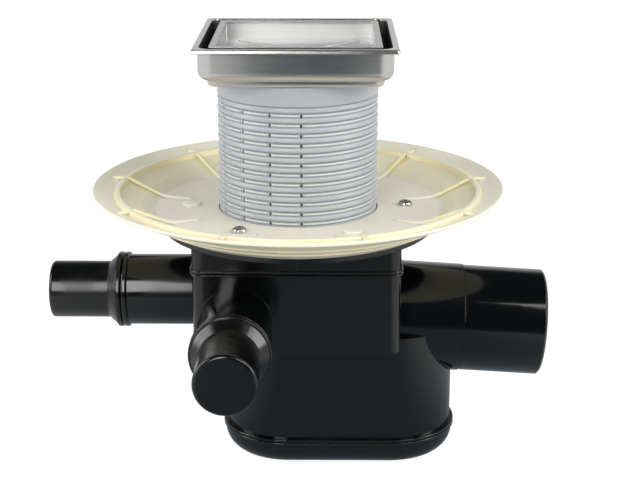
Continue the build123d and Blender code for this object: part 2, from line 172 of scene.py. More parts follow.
WHITE = (1.0, 1.0, 1.0, 1)
MIRRORED_BACK = (0.72, 0.72, 0.72, 1)
MIRRORED_DARK = (0.04, 0.045, 0.05, 1)
SOFT_LOW = (0.50, 0.50, 0.50, 1)
SOFT_HIGH = (0.42, 0.42, 0.42, 1)
room = Finish(bpy.data.worlds.new("room"))
bpy.context.scene.world = room.owner
ray_x = room.node("SeparateXYZ", sockets={0: room.node("TexCoord", output="Generated")})
ray_y = ray_x.beside(1)
ray_z = ray_x.beside(2)
behind_camera = (-1 * ray_y).ease(start=0.05, end=0.6)
overhead = ray_z.ease(start=0.22, end=0.55)
dark_share = 1 - (1 - behind_camera) * (1 - overhead)
mirrored_room = room.tint(dark_share, MIRRORED_BACK, MIRRORED_DARK)
soft_room = room.tint(ray_z.ease(start=0.0, end=0.9), SOFT_LOW, SOFT_HIGH)
seen_room = room.node("LightPath", output="Is Camera Ray")
unseen_room = room.tint(seen_room.beside("Is Glossy Ray"), soft_room, mirrored_room)
room.feed({"Color": room.tint(seen_room, unseen_room, WHITE), "Strength": 1.0})

LAMP_TARGET = Vector((0, 0, 0.17))
LAMP_DISTANCE = 1.5
LAMP_WATTS = 4


def soft_box(name, azimuth, elevation, width, height, radiance):
    """A lamp with its face turned to the part. Azimuth 0 is in front, and + is right."""
    lamp = bpy.data.lights.new(name, "AREA")
    lamp.shape = "RECTANGLE"
    lamp.size = width
    lamp.size_y = height
    lamp.energy = radiance * width * height * LAMP_WATTS
    toward = Vector((
        sin(radians(azimuth)) * cos(radians(elevation)),
        -cos(radians(azimuth)) * cos(radians(elevation)),
        sin(radians(elevation)),
    ))
    box = bpy.data.objects.new(name, lamp)
    box.location = LAMP_TARGET + toward * LAMP_DISTANCE
    box.rotation_euler = toward.to_track_quat("Z", "Y").to_euler()
    bpy.context.scene.collection.objects.link(box)


soft_box("left_near_box", azimuth=-16, elevation=25, width=0.42, height=0.9, radiance=6.0)
soft_box("left_far_box", azimuth=-80, elevation=22, width=0.5, height=1.2, radiance=4.6)
soft_box("right_far_box", azimuth=76, elevation=24, width=0.5, height=1.2, radiance=5.0)
soft_box("right_near_box", azimuth=40, elevation=38, width=0.5, height=0.7, radiance=3.4)

TABLE_HALF = 6.0
table = bpy.data.meshes.new("table")
table.from_pydata([
    (-TABLE_HALF, -TABLE_HALF, 0), (TABLE_HALF, -TABLE_HALF, 0),
    (TABLE_HALF, TABLE_HALF, 0), (-TABLE_HALF, TABLE_HALF, 0),
], [], [(0, 1, 2, 3)])
table_top = bpy.data.objects.new("table", table)
bpy.context.scene.collection.objects.link(table_top)

CLOTH_GREY = (0.30, 0.30, 0.30, 1)
CLOTH_GLOW = 0.87
BOUNCED = (0.80, 0.79, 0.77, 1)
BOUNCED_GLOW = 0.6
TABLE_NEAR = (0.27, 0.31, 0.34, 1)
TABLE_FAR = (0.065, 0.072, 0.082, 1)
TABLE_SIDE = (0.85, 0.86, 0.87, 1)
FAN_START = 0.05
cloth = Finish(bpy.data.materials.new("table"), {
    "Base Color": CLOTH_GREY, "Roughness": 1.0, "Specular IOR Level": 0.0,
    "Emission Color": WHITE, "Emission Strength": CLOTH_GLOW,
})
table_x = cloth.node("SeparateXYZ", sockets={0: cloth.place()})
table_y = table_x.beside(1)
far_share = (-1 * table_y).ease(start=0.45, end=1.0)
mirrored_front = cloth.tint(far_share, TABLE_NEAR, TABLE_FAR)
beside_near = (-1 * table_x).ease(start=0.06, end=0.26) + table_x.ease(start=0.13, end=0.32)
slope = table_x / (FAN_START - table_y)
beside_far = (-1 * slope).ease(start=0.06, end=0.75) + slope.ease(start=0.32, end=1.05)
beside_share = beside_near * (1 - far_share) + beside_far * far_share
mirrored_table = cloth.node("Emission", sockets={
    "Color": cloth.tint(beside_share, mirrored_front, TABLE_SIDE)
})
table_glow = cloth.node("Emission", sockets={"Color": BOUNCED})
table_diffuse = cloth.node("BsdfDiffuse", sockets={"Color": BOUNCED})
table_bounce = cloth.node("MixShader", sockets={0: BOUNCED_GLOW, 1: table_diffuse, 2: table_glow})
seen_table = cloth.node("LightPath", output="Is Camera Ray")
unseen_table = cloth.node("MixShader", sockets={
    0: seen_table.beside("Is Glossy Ray"), 1: table_bounce, 2: mirrored_table
})
shown_table = cloth.node("MixShader", sockets={
    0: seen_table, 1: unseen_table, 2: Wire(cloth, cloth.shader.outputs[0])
})
cloth.feed({"Surface": shown_table}, cloth.tree.nodes["Material Output"])
table.materials.append(cloth.owner)


# Body of the trap
# A square box above and a long water chamber below, moulded as one in black polypropylene.
# It is glossy, with duller patches and the fine scuffs of handling.
BLACK = (0.0016, 0.0020, 0.0023, 1)
SCUFFED = (0.011, 0.012, 0.013, 1)
SCUFF_SHARE = 0.35
SCUFF_DULLS = 0.12


def black_moulding(name, gloss, dull, edge=0.0004):
    """Glossy black plastic whose roughness wanders between two values."""
    black = Finish(bpy.data.materials.new(name), {"IOR": 1.52})
    clouds = black.noise(scale=22, detail=4.0).ease(start=0.35, end=0.68)
    streaks = black.noise(scale=60, stretch=(1, 1, 9), detail=6.0, roughness=0.7)
    scuff = streaks.ease(start=0.60, end=0.72) * clouds * SCUFF_SHARE
    waves = black.noise(scale=35, detail=2.0)
    black.feed({
        "Base Color": black.tint(scuff, BLACK, SCUFFED),
        "Roughness": gloss + clouds * (dull - gloss) + scuff * SCUFF_DULLS,
        "Normal": black.bump(waves, distance=0.0006, strength=0.25, normal=black.soft_edges(edge)),
    })
    return black


def dress(node, finish):
    """Gives a node of the frame its finish."""
    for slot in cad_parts[node].material_slots:
        slot.material = finish.owner


body_black = black_moulding("body_black", gloss=0.11, dull=0.22)
dress("trap_body", body_black)


# Base cap
# The bottom shell of the water chamber, moulded in the same black plastic. It turns in
# with a large round at its foot, and is welded on hot at the bead along its top.
CAP_HALF = 0.0447
CAP_LEFT_END = -0.0520
CAP_RIGHT_END = 0.1095
CAP_STEP = 0.0015
CAP_BEAD = 0.0028
CAP_BEAD_HIGH = 0.0022
CAP_BEAD_ROUND = 0.0008
CAP_ROUND = 0.0145
CAP_SKIN = 0.0030
CAP_MIDDLE = -0.036
cap_black = black_moulding("cap_black", gloss=0.18, dull=0.30)


def make_piece(name, corners, faces, finishes, body, smooth_under=35, face_finish=None):
    """One mesh object that rides on a body, smooth where its faces meet gently."""
    mesh = bpy.data.meshes.new(name)
    mesh.from_pydata(corners, [], faces)
    for finish in finishes:
        mesh.materials.append(finish.owner)
    if face_finish:
        mesh.polygons.foreach_set("material_index", face_finish)
    clean = bmesh.new()
    clean.from_mesh(mesh)
    bmesh.ops.remove_doubles(clean, verts=clean.verts, dist=1e-7)
    bmesh.ops.recalc_face_normals(clean, faces=clean.faces)
    clean.to_mesh(mesh)
    clean.free()
    mesh.shade_smooth()
    mesh.set_sharp_from_angle(angle=radians(smooth_under))
    piece = bpy.data.objects.new(name, mesh)
    bpy.context.scene.collection.objects.link(piece)
    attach(piece, body)
    return piece


def rounded(outline, steps=5):
    """The outline's (radius, height) points, with an arc at each that has a third value."""
    points = []
    for i, (x, z, *arc) in enumerate(outline):
        if not arc:
            points.append((x, z))
            continue
        here = Vector((x, z))
        before = (Vector(outline[i - 1][:2]) - here).normalized()
        after = (Vector(outline[(i + 1) % len(outline)][:2]) - here).normalized()
        half = before.angle(after) / 2
        middle = here + (before + after).normalized() * arc[0] / sin(half)
        start = here + before * arc[0] * cos(half) / sin(half) - middle
        end = here + after * arc[0] * cos(half) / sin(half) - middle
        points += [
            tuple(middle + start.slerp(end, step / steps) * arc[0]) for step in range(steps + 1)
        ]
    return points


def slot_row(grow, height, arc_steps=32, run_steps=6):
    """Corners of one level row round the chamber's plan, which has round ends."""
    left = CAP_LEFT_END + CAP_HALF
    right = CAP_RIGHT_END - CAP_HALF
    row = []
    for centre, other, start in ((right, left, -pi / 2), (left, right, pi / 2)):
        for step in range(arc_steps + 1):
            angle = start + pi * step / arc_steps
            row.append((
                centre + cos(angle) * (CAP_HALF + grow), sin(angle) * (CAP_HALF + grow), height
            ))
        side = sin(start + pi) * (CAP_HALF + grow)
        for step in range(1, run_steps):
            row.append((centre + (other - centre) * step / run_steps, side, height))
    return row


cap_low, cap_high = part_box("base_cap")
cap_line = rounded([
    (CAP_MIDDLE, CAP_SKIN), (-CAP_SKIN, CAP_SKIN, CAP_ROUND - CAP_SKIN),
    (-CAP_SKIN, cap_high.z), (CAP_BEAD, cap_high.z, CAP_BEAD_ROUND),
    (CAP_BEAD, cap_high.z - CAP_BEAD_HIGH, CAP_BEAD_ROUND),
    (CAP_STEP, cap_high.z - CAP_BEAD_HIGH), (CAP_STEP, cap_low.z, CAP_ROUND),
    (CAP_MIDDLE, cap_low.z),
], steps=8)
cap_corners = [point for grow, height in cap_line for point in slot_row(grow, height)]
cap_around = len(slot_row(0, 0))
cap_faces = [
    (i * cap_around + j, (i + 1) * cap_around + j,
     (i + 1) * cap_around + (j + 1) % cap_around, i * cap_around + (j + 1) % cap_around)
    for i in range(len(cap_line) - 1) for j in range(cap_around)
]
cap_last = (len(cap_line) - 1) * cap_around
cap_faces.append(tuple(range(cap_around)))
cap_faces.append(tuple(range(cap_last + cap_around - 1, cap_last - 1, -1)))
cap = make_piece("cap_shell", cap_corners, cap_faces, [cap_black], "gully")
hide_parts("base_cap")


# Body cover
# A round plate on a square skirt, moulded in black plastic too. It is welded on hot at
# the upper double bead, and its throat holds the seal that the riser slides in.
cover_black = black_moulding("cover_black", gloss=0.20, dull=0.34)
dress("body_cover", cover_black)


# Outlet pipe
# A length of extruded black drain pipe, glossier than the mouldings, with a chamfered end.
# It is welded to the body's sleeve.
pipe_black = black_moulding("pipe_black", gloss=0.08, dull=0.16, edge=0.0008)
dress("outlet_pipe", pipe_black)


# Inlet spigots
# Two closed spigots, moulded in black plastic, which the mould leaves a little duller.
# They are welded to the body's stubs, and are cut open where an inlet is used.
spigot_black = black_moulding("spigot_black", gloss=0.18, dull=0.32)
dress("left_inlet_spigot", spigot_black)
dress("front_inlet_spigot", spigot_black)


# Seals
# The riser's lip seal, the flat gasket under the dish and two O-rings, all moulded in
# black rubber. Each sits in its own groove or seat.
RUBBER_DARK = (0.012, 0.012, 0.013, 1)
RUBBER_PALE = (0.022, 0.022, 0.023, 1)
rubber = Finish(bpy.data.materials.new("rubber"), {"IOR": 1.5})
rubber_bloom = rubber.noise(scale=90, detail=4.0)
rubber.feed({
    "Base Color": rubber.tint(rubber_bloom, RUBBER_DARK, RUBBER_PALE),
    "Roughness": 0.55 + rubber_bloom * 0.2,
})
for seal in ("riser_seal", "flange_gasket", "insert_seal", "socket_seal"):
    dress(seal, rubber)


# Membrane flange
# The wide dish that a sealing membrane is laid on, moulded in ivory plastic that lets a
# little light through. It is painted yellower and darker on the funnel wall, at the ring's
# feet and beside the rib roots: partly the thick plastic's deeper tone, partly painted shade.
IVORY = (0.77, 0.745, 0.640, 1)
# A deeper ivory, partly the thick plastic's tone and partly painted shade, and the radii it is laid
# on.
THICK_AND_SHADED_IVORY = (0.81, 0.74, 0.465, 1)
FUNNEL_TONE_AND_SHADE = (0.1000, 0.1030, 0.1205, 0.1215)
RING_INSIDE_TONE_AND_SHADE = (0.1205, 0.1222, 0.1232, 0.1241)
RING_OUTSIDE_TONE_AND_SHADE = (0.1257, 0.1264, 0.1272, 0.1290)
DISH_FLOOR = 0.1797
DISH_RADIUS = 0.1418
dish_low, dish_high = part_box("membrane_flange")
RIM = dish_high.z
CREST = DISH_FLOOR + 0.0140
HOLE = 0.0553
FLOOR_RADIUS = 0.0995
FLOOR_ROUND = 0.0040
STEP_RADIUS = 0.1100
STEP_HIGH = DISH_FLOOR + 0.0052
STEP_LEDGE = 0.0013
STEP_ROUND = 0.0003
RING_IN = 0.1229
RING_OUT = 0.1267
RING_ROUND = 0.0014
RING_FOOT = 0.0042
RING_FOOT_IN = 0.0007
FOOT_ROUND = 0.0010
BRIM_START = 0.1274
BRIM_DROP = 0.0032
BRIM_MIDDLE = 0.1346
BRIM_MIDDLE_HIGH = DISH_FLOOR + 0.0131
BRIM_ROUND = 0.0160
RIM_SKIN = 0.0024
RIM_ROUND = 0.0007
UNDER_BRIM_ROUND = 0.0120
UNDER_RING = 0.1255
UNDER_RING_ROUND = 0.0030
SKIN = 0.0030
HUB = 0.0690
FOOT = 0.0944
FOOT_WIDTH = 0.0030
BANDS = 3
BAND_STEP = 0.00045
DISH_SIDES = 216
RIB_TURN = 40.0
RIB_FIRST = 10.0
RIB_HALF = 0.0011
RIB_ROOT = 0.0022
RIB_EDGE = 0.0005
RIB_START = (0.0720, DISH_FLOOR - 0.0010)
RIB_RISEN = (0.0780, DISH_FLOOR + 0.0012, 0.010)
RIB_BEND = (0.0965, DISH_FLOOR + 0.0020, 0.036)
RIB_OVER_RING = 0.0006
RIB_OVER_BRIM = 0.0009
RIB_BRIM_ROUND = 0.010
RIB_END = (DISH_RADIUS - 0.0048, RIM - 0.0026)
BOSS_RADIUS = 0.0065
BOSS_CIRCLE = 0.0746
BOSS_RISE = 0.0016
BOSS_ROUND = 0.0006
BOSS_SIDES = 40
BOSS_TURNS = (60, 180, 300)


def band_share(radius, band):
    """1 between a band's two middle radii, and 0 outside its first and last."""
    return radius.ease(band[0], band[1]) * (1 - radius.ease(band[2], band[3]))


def turned(outline, sides):
    """Corners and faces of a closed (radius, height) outline turned about Z."""
    corners = [
        (cos(2 * pi * i / sides) * r, sin(2 * pi * i / sides) * r, z)
        for i in range(sides) for r, z in outline
    ]
    rows = len(outline)
    faces = [
        (i * rows + j, (i + 1) % sides * rows + j, (i + 1) % sides * rows + (j + 1) % rows,
         i * rows + (j + 1) % rows)
        for i in range(sides) for j in range(rows)
    ]
    return corners, faces


ivory = Finish(bpy.data.materials.new("ivory"), {
    "IOR": 1.5, "Subsurface Weight": 0.35, "Subsurface Scale": 0.004,
    "Subsurface Radius": (0.9, 0.85, 0.5),
})
dish_x = ivory.node("SeparateXYZ", sockets={0: ivory.place()})
dish_y = dish_x.beside(1)
dish_radius = (dish_x * dish_x + dish_y * dish_y) ** 0.5
dish_turn = dish_y.math("ARCTAN2", dish_y, dish_x) * (180 / pi) + 360 + RIB_TURN / 2 - RIB_FIRST
rib_degrees = abs(dish_turn.math("MODULO", dish_turn, RIB_TURN) - RIB_TURN / 2)
from_rib = rib_degrees * dish_radius * (pi / 180)
near_ring = dish_radius.ease(start=0.094, end=0.106)
rib_tone_and_shade = (1 - from_rib.ease(start=0.0012, end=0.0042)) * near_ring
funnel_tone_and_shade = band_share(dish_radius, FUNNEL_TONE_AND_SHADE)
ring_inside_tone_and_shade = band_share(dish_radius, RING_INSIDE_TONE_AND_SHADE)
ring_outside_tone_and_shade = band_share(dish_radius, RING_OUTSIDE_TONE_AND_SHADE)
ivory_clouds = ivory.noise(scale=14, detail=3.0)
# Painted shade on the funnel wall, the ring's feet and the rib roots, on top of the thick plastic's
# deeper tone.
tone_and_shade_share = (
    ring_inside_tone_and_shade + ring_outside_tone_and_shade * 0.7 + rib_tone_and_shade * 0.45 + funnel_tone_and_shade * 0.45
    + ivory_clouds * 0.12
)
ivory_edges = ivory.soft_edges(radius=0.0005)
ivory.feed({
    "Base Color": ivory.tint(tone_and_shade_share, IVORY, THICK_AND_SHADED_IVORY),
    "Roughness": 0.26 + ivory_clouds * 0.14,
    "Normal": ivory.bump(ivory_clouds, distance=0.0006, strength=0.2, normal=ivory_edges),
})

under_ring_high = CREST - BRIM_DROP - SKIN
dish_line = [
    (HOLE, dish_low.z), (HOLE, DISH_FLOOR), (FLOOR_RADIUS, DISH_FLOOR, FLOOR_ROUND),
    (STEP_RADIUS - STEP_LEDGE, STEP_HIGH, STEP_ROUND), (STEP_RADIUS, STEP_HIGH),
    (RING_IN - RING_FOOT_IN, CREST - RING_FOOT, FOOT_ROUND), (RING_IN, CREST, RING_ROUND),
    (RING_OUT, CREST, RING_ROUND), (BRIM_START, CREST - BRIM_DROP, FOOT_ROUND),
    (BRIM_MIDDLE, BRIM_MIDDLE_HIGH, BRIM_ROUND), (DISH_RADIUS, RIM, RIM_ROUND),
    (DISH_RADIUS, RIM - RIM_SKIN, RIM_ROUND),
    (BRIM_MIDDLE, BRIM_MIDDLE_HIGH - RIM_SKIN, UNDER_BRIM_ROUND),
    (UNDER_RING, under_ring_high, UNDER_RING_ROUND),
]
for band in range(BANDS - 1, 0, -1):
    band_radius = FOOT + (UNDER_RING - FOOT) * band / BANDS
    band_high = dish_low.z + (under_ring_high - dish_low.z) * band / BANDS
    dish_line += [(band_radius, band_high + BAND_STEP), (band_radius, band_high - BAND_STEP)]
dish_line += [
    (FOOT, dish_low.z), (FOOT - FOOT_WIDTH, dish_low.z), (FOOT - FOOT_WIDTH, DISH_FLOOR - SKIN),
    (HUB, DISH_FLOOR - SKIN), (HUB, dish_low.z),
]
dish_corners, dish_faces = turned(rounded(dish_line), DISH_SIDES)

rib_line = rounded([
    RIB_START, RIB_RISEN, RIB_BEND, (RING_IN, CREST + RIB_OVER_RING, RING_ROUND),
    (RING_OUT, CREST + RIB_OVER_RING, RING_ROUND),
    (BRIM_MIDDLE, BRIM_MIDDLE_HIGH + RIB_OVER_BRIM, RIB_BRIM_ROUND), RIB_END,
], steps=6)
rib_section = [
    (-RIB_HALF, -RIB_ROOT), (-RIB_HALF, -RIB_EDGE), (-RIB_HALF * 0.7, -RIB_EDGE * 0.3),
    (-RIB_HALF * 0.3, 0), (RIB_HALF * 0.3, 0), (RIB_HALF * 0.7, -RIB_EDGE * 0.3),
    (RIB_HALF, -RIB_EDGE), (RIB_HALF, -RIB_ROOT),
]
rib_around = len(rib_section)
for rib in range(round(360 / RIB_TURN)):
    rib_angle = radians(RIB_FIRST + RIB_TURN * rib)
    rib_start = len(dish_corners)
    for r, z in rib_line:
        for across, drop in rib_section:
            dish_corners.append((
                cos(rib_angle) * r - sin(rib_angle) * across,
                sin(rib_angle) * r + cos(rib_angle) * across, z + drop,
            ))
    for i in range(len(rib_line) - 1):
        row = rib_start + i * rib_around
        for j in range(rib_around):
            after = (j + 1) % rib_around
            dish_faces.append((
                row + j, row + rib_around + j, row + rib_around + after, row + after
            ))
    rib_end = rib_start + (len(rib_line) - 1) * rib_around
    dish_faces.append(tuple(range(rib_start + rib_around - 1, rib_start - 1, -1)))
    dish_faces.append(tuple(range(rib_end, rib_end + rib_around)))

boss_line = rounded([
    (0.0, DISH_FLOOR - BOSS_RISE), (BOSS_RADIUS, DISH_FLOOR - BOSS_RISE),
    (BOSS_RADIUS, DISH_FLOOR + BOSS_RISE, BOSS_ROUND), (0.0, DISH_FLOOR + BOSS_RISE),
])
for boss_turn in BOSS_TURNS:
    boss_corners, boss_faces = turned(boss_line, BOSS_SIDES)
    boss_x = cos(radians(boss_turn)) * BOSS_CIRCLE
    boss_y = sin(radians(boss_turn)) * BOSS_CIRCLE
    boss_start = len(dish_corners)
    dish_corners += [(x + boss_x, y + boss_y, z) for x, y, z in boss_corners]
    dish_faces += [tuple(boss_start + point for point in face) for face in boss_faces]
dish = make_piece("cream_dish", dish_corners, dish_faces, [ivory], "gully")
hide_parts("membrane_flange")


# Flange screws
# Pan-head screws with a cross recess, in bright stainless steel. They hold the dish down
# on the body's cover.
SCREW_DARK = (0.48, 0.44, 0.40, 1)
SCREW_BRIGHT = (0.66, 0.62, 0.58, 1)
screw_steel = Finish(bpy.data.materials.new("screw_steel"), {"Metallic": 1.0})
screw_marks = screw_steel.noise(scale=400, detail=3.0)
screw_steel.feed({
    "Base Color": screw_steel.tint(screw_marks, SCREW_DARK, SCREW_BRIGHT),
    "Roughness": 0.18 + screw_marks * 0.16,
    "Normal": screw_steel.soft_edges(radius=0.0003),
})
dress("flange_screws", screw_steel)


# Trap insert, strainer and tray feet
# The lift-out dip tube with its bail, the slotted strainer in its mouth, and the feet
# that the tray stands on in the frame, all moulded in a plain grey-black plastic.
INSERT_DARK = (0.035, 0.037, 0.040, 1)
INSERT_PALE = (0.05, 0.053, 0.057, 1)
insert_plastic = Finish(bpy.data.materials.new("insert_plastic"), {"IOR": 1.5})
insert_grain = insert_plastic.noise(scale=120, detail=4.0)
insert_plastic.feed({
    "Base Color": insert_plastic.tint(insert_grain, INSERT_DARK, INSERT_PALE),
    "Roughness": 0.30 + insert_grain * 0.15,
    "Normal": insert_plastic.soft_edges(radius=0.0004),
})
for node in ("trap_insert", "hair_strainer", "tray_feet"):
    dress(node, insert_plastic)


# Riser tube
# A grey drain pipe with a smooth collar. Below it the wall is moulded in rounded bands
# with a fine ridge above each, a guide for the saw, painted paler as a highlight. The ridges
# are notched in columns, and the notch roots are painted near-black as shade.
GREY_DARK = (0.355, 0.375, 0.400, 1)
GREY_PALE = (0.405, 0.425, 0.450, 1)
# Painted highlight: a paler grey for the ridges, where the top light catches them.
RIDGE_HIGHLIGHT_DARK = (0.52, 0.52, 0.505, 1)
RIDGE_HIGHLIGHT_PALE = (0.61, 0.61, 0.59, 1)
# Painted shade: a near-black grey for the faces deep in the notches.
NOTCH_SHADE_DARK = (0.06, 0.06, 0.065, 1)
NOTCH_SHADE_PALE = (0.12, 0.12, 0.125, 1)
RISER_RADIUS = 0.055
RISER_WALL = 0.0035
RISER_SIDES = 144
COLLAR = 0.0127
BAND_PITCH = 0.00666
NICK_DEPTH = 0.0014
NICK_DROP = 0.0010
CREST_DROP = 0.0034
VALLEY_DEPTH = 0.0019
VALLEY_DROP = 0.0048
RIDGE_SET_BACK = 0.0004
RIDGE_HIGH = 0.0007
RAMP_HIGH = BAND_PITCH - VALLEY_DROP - RIDGE_HIGH
RAMP_SHARE = 0.35
EDGE_ROUND = 0.0006
FINE = 0.00012
NOTCH_DEPTH = 0.0032
NOTCH_WIDTH = 0.0014
NOTCH_GAP = 0.0012
NOTCH_TURN = 22.5
NOTCH_FIRST = 3.6
NOTCH_COLUMNS = 9
NOTCH_SLANT = 0.12
GAP_SLANT = 0.2
CUT_CLEAR = 0.5
TURN_SLACK = 0.01
INTO_FACE = 0.1
CUT_POINTS = range(0, 7)
RIDGE_HIGHLIGHT_FACES = range(1, 5)
NOTCH_SHADE_FACES = range(2, 6)

grey = Finish(bpy.data.materials.new("riser_grey"), {"IOR": 1.5})
grey_clouds = grey.noise(scale=30, detail=4.0)
grey_streaks = grey.noise(scale=240, stretch=(1, 1, 0.15), detail=3.0)
grey.feed({
    "Base Color": grey.tint(grey_clouds, GREY_DARK, GREY_PALE),
    "Roughness": 0.32 + grey_clouds * 0.12,
    "Normal": grey.bump(grey_streaks, distance=0.0003, strength=0.12),
})
# The ridge faces: a paler grey, a painted highlight.
ridge_highlight_grey = Finish(bpy.data.materials.new("ridge_highlight_grey"), {"IOR": 1.5})
ridge_highlight_noise = ridge_highlight_grey.noise(scale=180, detail=4.0)
ridge_highlight_grey.feed({
    "Base Color": ridge_highlight_grey.tint(ridge_highlight_noise, RIDGE_HIGHLIGHT_DARK, RIDGE_HIGHLIGHT_PALE),
    "Roughness": 0.38 + ridge_highlight_noise * 0.12,
})
# The notch roots: a near-black grey, painted shade in the deep slots.
notch_shade_grey = Finish(bpy.data.materials.new("notch_shade_grey"), {"IOR": 1.5, "Roughness": 0.7})
notch_shade_noise = notch_shade_grey.noise(scale=300, detail=3.0)
notch_shade_grey.feed({"Base Color": notch_shade_grey.tint(notch_shade_noise, NOTCH_SHADE_DARK, NOTCH_SHADE_PALE)})
riser_finishes = [grey, ridge_highlight_grey, notch_shade_grey]


def quarter(start, end, outward_first, steps):
    """Points of a quarter ellipse after start, up to end, as (radius, height)."""
    points = []
    for step in range(1, steps + 1):
        angle = pi / 2 * step / steps
        out_share = sin(angle) if outward_first else 1 - cos(angle)
        drop_share = 1 - cos(angle) if outward_first else sin(angle)
        points.append((
            start[0] + (end[0] - start[0]) * out_share, start[1] + (end[1] - start[1]) * drop_share
        ))
    return points


riser_low, riser_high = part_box("riser_tube")
bore = RISER_RADIUS - RISER_WALL
ridge = RISER_RADIUS - RIDGE_SET_BACK
level = riser_high.z - COLLAR
riser_line = [
    (bore, riser_low.z), (bore, riser_high.z - EDGE_ROUND), (bore + EDGE_ROUND, riser_high.z),
    (RISER_RADIUS - EDGE_ROUND, riser_high.z), (RISER_RADIUS, riser_high.z - EDGE_ROUND),
    (RISER_RADIUS, level),
]
valley_ends = []
while level - BAND_PITCH > riser_low.z:
    nick = (RISER_RADIUS - NICK_DEPTH, level - NICK_DROP)
    crest = (RISER_RADIUS, level - CREST_DROP)
    valley = (RISER_RADIUS - VALLEY_DEPTH, level - VALLEY_DROP)
    riser_line.append(nick)
    riser_line += quarter(nick, crest, outward_first=True, steps=3)
    riser_line += quarter(crest, valley, outward_first=False, steps=5)
    level -= BAND_PITCH
    valley_ends.append(len(riser_line) - 1)
    riser_line += [
        (RISER_RADIUS - VALLEY_DEPTH * RAMP_SHARE, level + RIDGE_HIGH + RAMP_HIGH * RAMP_SHARE),
        (ridge - FINE, level + RIDGE_HIGH), (ridge, level + RIDGE_HIGH - FINE),
        (ridge, level + FINE), (ridge - FINE, level),
    ]
riser_line.append((RISER_RADIUS - FINE, riser_low.z))

arc_of_degree = pi / 180 * RISER_RADIUS
notch_half = NOTCH_WIDTH / 2 / arc_of_degree
gap_half = notch_half + NOTCH_GAP / arc_of_degree
notch_turns = [NOTCH_FIRST - NOTCH_TURN * column for column in range(NOTCH_COLUMNS)]


def from_notch(turn):
    """Degrees from a turn to the middle of the nearest notch."""
    return min(abs((turn - notch + 180) % 360 - 180) for notch in notch_turns)


def past_valley(point):
    """How many points of the outline there are since its last valley."""
    return min((point - end for end in valley_ends if end <= point), default=len(riser_line))


cut_turns = [
    (turn + side * reach) % 360 for turn in notch_turns for side in (-1, 1)
    for reach in (notch_half, notch_half + NOTCH_SLANT, gap_half, gap_half + GAP_SLANT)
]
even_turns = [360 / RISER_SIDES * step for step in range(RISER_SIDES)]
riser_turns = sorted(
    cut_turns + [turn for turn in even_turns if from_notch(turn) > gap_half + CUT_CLEAR]
)
riser_corners = []
for turn in riser_turns:
    in_notch = from_notch(turn) < notch_half + TURN_SLACK
    in_gap = from_notch(turn) < gap_half + TURN_SLACK
    for j, (reach, height) in enumerate(riser_line):
        if in_notch and past_valley(j) in CUT_POINTS:
            reach = RISER_RADIUS - NOTCH_DEPTH
        elif in_gap and j not in valley_ends and past_valley(j) in CUT_POINTS:
            reach = min(reach, RISER_RADIUS - NICK_DEPTH)
        riser_corners.append((sin(radians(turn)) * reach, -cos(radians(turn)) * reach, height))
riser_rows = len(riser_line)
riser_faces = []
riser_kinds = []
for i in range(len(riser_turns)):
    here = i * riser_rows
    there = (i + 1) % len(riser_turns) * riser_rows
    in_notch = from_notch(riser_turns[i] + INTO_FACE) < notch_half
    for j in range(riser_rows):
        after = (j + 1) % riser_rows
        riser_faces.append((here + j, there + j, there + after, here + after))
        # Faces deep in a notch take the painted shade.
        if in_notch and past_valley(j) in NOTCH_SHADE_FACES:
            riser_kinds.append(riser_finishes.index(notch_shade_grey))
        # Ridge faces take the painted highlight.
        elif past_valley(j) in RIDGE_HIGHLIGHT_FACES:
            riser_kinds.append(riser_finishes.index(ridge_highlight_grey))
        else:
            riser_kinds.append(riser_finishes.index(grey))

riser = make_piece(
    "grey_riser", riser_corners, riser_faces, riser_finishes, "riser", face_finish=riser_kinds
)
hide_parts("riser_tube")


# Frame socket
# The round neck under the pan, moulded in the riser's grey plastic. It plugs into the
# riser's mouth, and turns in it on an O-ring.
dress("frame_socket", grey)


# Top frame
# A pan pressed in two steps from stainless sheet, rolled bright, with a turned-down lip.
# The press leaves its sides a little bowed, so they mirror the room's sides at the corners.
# The pan's inside faces, from the socket hole up its inner walls, are painted near-black as shade.
STEEL_DARK = (0.56, 0.55, 0.53, 1)
STEEL_BRIGHT = (0.66, 0.65, 0.63, 1)
# Painted shade: near-black steel for the pan's inside faces, the channels beside the tray.
INSIDE_SHADE_DARK = (0.05, 0.046, 0.042, 1)
INSIDE_SHADE_PALE = (0.12, 0.11, 0.10, 1)
BOW = 2.6
pan_low, pan_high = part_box("top_frame")
SHEET = 0.0010
LIP_OUT = 0.0009
LIP_DROP = 0.0023
LIP_EDGE = 0.0004
LIP_INSIDE = 0.0008
MOUTH_ROUND = 0.0005
LIP_ROUND = 0.0008
LIP_END_ROUND = 0.0003
UNDER_LIP_ROUND = 0.0002
NECK_ROUND = 0.0004
FRAME_HALF = pan_high.x - LIP_OUT
FRAME_CORNER = 0.0018
PAN_HALF = 0.06325
PAN_CORNER = 0.0100
PAN_ROUND = 0.0060
CORNER_TIGHTENS = 0.6
LOWER_HALF = 0.05725
LOWER_ROUND = 0.0028
LEDGE = pan_low.z + 0.0046
LEDGE_ROUND = 0.0006
LEDGE_INSIDE_ROUND = 0.0010
SOCKET_HOLE = 0.0510
pan_steel = Finish(bpy.data.materials.new("pan_steel"), {"Metallic": 1.0})
pan_marks = pan_steel.noise(scale=90, stretch=(1, 1, 8), detail=5.0, roughness=0.65)
pan_waves = pan_steel.noise(scale=18, detail=2.0)
pan_x = pan_steel.node("SeparateXYZ", sockets={0: pan_steel.node("NewGeometry", output="Position")})
pan_z = pan_steel.node("SeparateXYZ", sockets={0: pan_steel.place()}).beside(2)
pan_bow = (1 - pan_z.ease(start=pan_high.z - 0.0045, end=pan_high.z - 0.0030)) * BOW
bow = pan_steel.node("CombineXYZ", sockets={0: pan_x * pan_bow, 1: pan_x.beside(1) * pan_bow})
